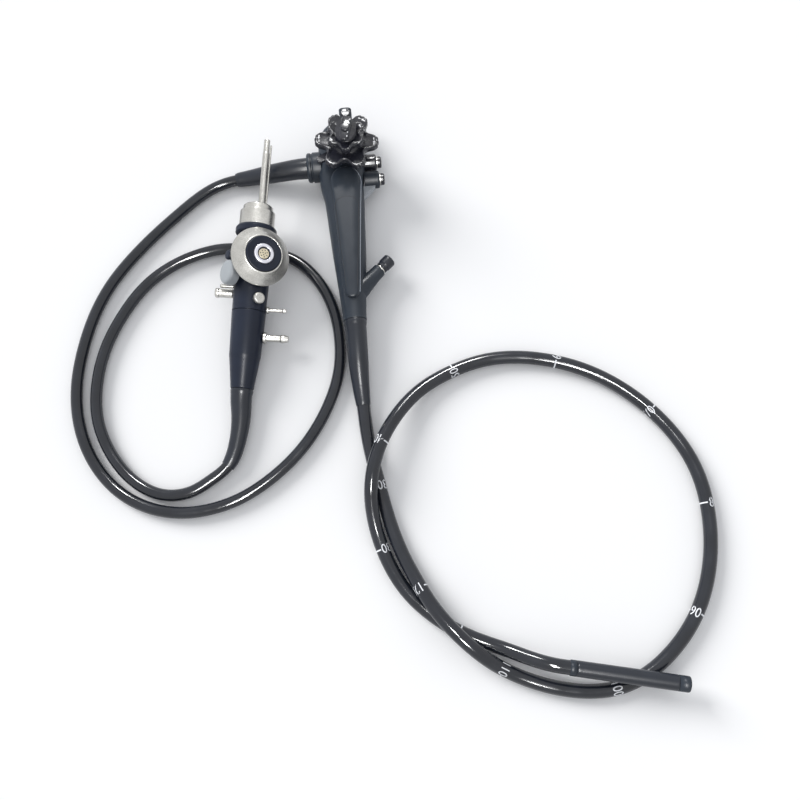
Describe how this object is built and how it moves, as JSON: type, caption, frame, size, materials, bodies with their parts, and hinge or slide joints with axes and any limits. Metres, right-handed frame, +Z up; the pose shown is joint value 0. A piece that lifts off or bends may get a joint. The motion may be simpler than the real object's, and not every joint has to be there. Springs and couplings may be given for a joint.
{
  "type": "flexible endoscope",
  "caption": "Flexible endoscope with a grip and two control knobs, a long looped insertion tube with a bending tip, and a cord to a light guide connector.",
  "frame": {"origin": "on the table, in the flat face of the head's back cover, on the control knobs' axis", "axes": "+Y along the grip to the top of the head, +X to the valves, +Z up along the knobs' axis"},
  "size_m": [0.5791, 0.5838, 0.078],
  "materials": {
    "head_plastic": "satin",
    "knob_plastic": "satin",
    "tube_skin": "smooth coated",
    "soft_rubber": "matte",
    "steel": "satin",
    "gold_contacts": "plated",
    "light_cap": "matte",
    "lens_glass": "polished",
    "spring_steel": "drawn wire"
  },
  "bodies": {
    "scope": {"grip_housing": "head_plastic", "grip_cover": "head_plastic", "back_cover": "head_plastic", "chassis_plate": "steel", "angulation_shaft": "steel", "shaft_cap": "steel", "insertion_boot": "soft_rubber", "cord_collar": "head_plastic", "cord_boot": "soft_rubber", "insertion_tube": "tube_skin", "universal_cord": "tube_skin", "air_water_cylinder": "steel", "suction_cylinder": "head_plastic", "switch_panel": "head_plastic", "biopsy_inlet": "steel", "biopsy_cap": "soft_rubber", "bending_base_ring": "steel", "connector_body": "head_plastic", "connector_tail": "head_plastic", "connector_boot": "soft_rubber", "front_flange": "head_plastic", "light_guide_collar": "steel", "light_guide_rod": "steel", "air_pipe": "steel", "video_housing": "steel", "video_insulator": "head_plastic", "video_ring": "steel", "pin_block": "gold_contacts", "side_cap": "light_cap", "suction_nipple": "steel", "side_pipe": "steel", "vent_knob": "steel", "water_nipple": "steel", "air_nipple": "steel", "air_water_spring": "spring_steel", "suction_spring": "spring_steel", "bending_rubber": "soft_rubber"},
    "ud_control": {"ud_knob": "knob_plastic", "ud_drum": "steel"},
    "lr_control": {"lr_knob": "knob_plastic", "lr_drum": "steel"},
    "ud_lock": {"ud_lock_lever": "knob_plastic"},
    "lr_lock": {"lr_lock_knob": "knob_plastic"},
    "air_water_valve": {"air_water_button": "knob_plastic"},
    "suction_valve": {"suction_button": "knob_plastic"},
    "switch_1_button": {"switch_1": "light_cap"},
    "switch_2_button": {"switch_2": "knob_plastic"},
    "switch_3_button": {"switch_3": "knob_plastic"},
    "link_1": {"bending_link_1": "steel"},
    "link_2": {"bending_link_2": "steel"},
    "link_3": {"bending_link_3": "steel"},
    "link_4": {"bending_link_4": "steel"},
    "link_5": {"bending_link_5": "steel"},
    "link_6": {"bending_link_6": "steel"},
    "link_7": {"bending_link_7": "steel"},
    "tip": {"distal_tip": "head_plastic", "objective_lens": "lens_glass", "light_lens_a": "lens_glass", "light_lens_b": "lens_glass", "water_nozzle": "steel"}
  },
  "joints": [
    {"name": "ud_knob_turn", "type": "hinge", "parent": "scope", "child": "ud_control", "pos_m": [0, 0, 0.051], "axis": [0, 0, 1], "range_deg": [-135, 135]},
    {"name": "lr_knob_turn", "type": "hinge", "parent": "scope", "child": "lr_control", "pos_m": [0, 0, 0.063], "axis": [0, 0, 1], "range_deg": [0, 120]},
    {"name": "ud_lock_turn", "type": "hinge", "parent": "scope", "child": "ud_lock", "pos_m": [0, 0, 0.044], "axis": [0, 0, 1], "range_deg": [0, 45]},
    {"name": "lr_lock_turn", "type": "hinge", "parent": "scope", "child": "lr_lock", "pos_m": [0, 0, 0.073], "axis": [0, 0, 1], "range_deg": [0, 60]},
    {"name": "air_water_press", "type": "slide", "parent": "scope", "child": "air_water_valve", "axis": [-1, 0, 0], "range_m": [0, 0.0045], "stiffness_N_per_m": 400, "springref_m": -0.003, "deforming": ["air_water_spring"]},
    {"name": "suction_press", "type": "slide", "parent": "scope", "child": "suction_valve", "axis": [-1, 0, 0], "range_m": [0, 0.0045], "stiffness_N_per_m": 400, "springref_m": -0.003, "deforming": ["suction_spring"]},
    {"name": "switch_1_press", "type": "slide", "parent": "scope", "child": "switch_1_button", "axis": [0, 0, -1], "range_m": [0, 0.001], "stiffness_N_per_m": 800, "springref_m": -0.0005},
    {"name": "switch_2_press", "type": "slide", "parent": "scope", "child": "switch_2_button", "axis": [-1, 0, 0], "range_m": [0, 0.001], "stiffness_N_per_m": 800, "springref_m": -0.0005},
    {"name": "switch_3_press", "type": "slide", "parent": "scope", "child": "switch_3_button", "axis": [-1, 0, 0], "range_m": [0, 0.001], "stiffness_N_per_m": 800, "springref_m": -0.0005},
    {"name": "bend_ud_1", "type": "hinge", "parent": "scope", "child": "link_1", "pos_m": [0.1582, -0.5027, 0.0195], "axis": [0, 0, 1], "range_deg": [-45, 45], "deforming": ["bending_rubber"]},
    {"name": "bend_lr_1", "type": "hinge", "parent": "link_1", "child": "link_2", "pos_m": [0.16841, -0.50513, 0.0195], "axis": [-0.2317, -0.9728, 0], "range_deg": [0, 40]},
    {"name": "bend_ud_2", "type": "hinge", "parent": "link_2", "child": "link_3", "pos_m": [0.17863, -0.50757, 0.0195], "axis": [0, 0, 1], "range_deg": [-45, 45]},
    {"name": "bend_lr_2", "type": "hinge", "parent": "link_3", "child": "link_4", "pos_m": [0.18884, -0.51, 0.0195], "axis": [-0.2317, -0.9728, 0], "range_deg": [0, 40]},
    {"name": "bend_ud_3", "type": "hinge", "parent": "link_4", "child": "link_5", "pos_m": [0.19906, -0.51243, 0.0195], "axis": [0, 0, 1], "range_deg": [-45, 45]},
    {"name": "bend_lr_3", "type": "hinge", "parent": "link_5", "child": "link_6", "pos_m": [0.20927, -0.51487, 0.0195], "axis": [-0.2317, -0.9728, 0], "range_deg": [0, 40]},
    {"name": "bend_ud_4", "type": "hinge", "parent": "link_6", "child": "link_7", "pos_m": [0.21949, -0.5173, 0.0195], "axis": [0, 0, 1], "range_deg": [-45, 45]},
    {"name": "bend_lr_4", "type": "hinge", "parent": "link_7", "child": "tip", "pos_m": [0.2297, -0.51973, 0.0195], "axis": [-0.2317, -0.9728, 0], "range_deg": [0, 40]}
  ],
  "couplings": [
    {"joint": "bend_ud_1", "follows": "ud_knob_turn", "ratio": 0.33333},
    {"joint": "bend_lr_1", "follows": "lr_knob_turn", "ratio": 0.33333},
    {"joint": "bend_ud_2", "follows": "ud_knob_turn", "ratio": 0.33333},
    {"joint": "bend_lr_2", "follows": "lr_knob_turn", "ratio": 0.33333},
    {"joint": "bend_ud_3", "follows": "ud_knob_turn", "ratio": 0.33333},
    {"joint": "bend_lr_3", "follows": "lr_knob_turn", "ratio": 0.33333},
    {"joint": "bend_ud_4", "follows": "ud_knob_turn", "ratio": 0.33333},
    {"joint": "bend_lr_4", "follows": "lr_knob_turn", "ratio": 0.33333}
  ]
}
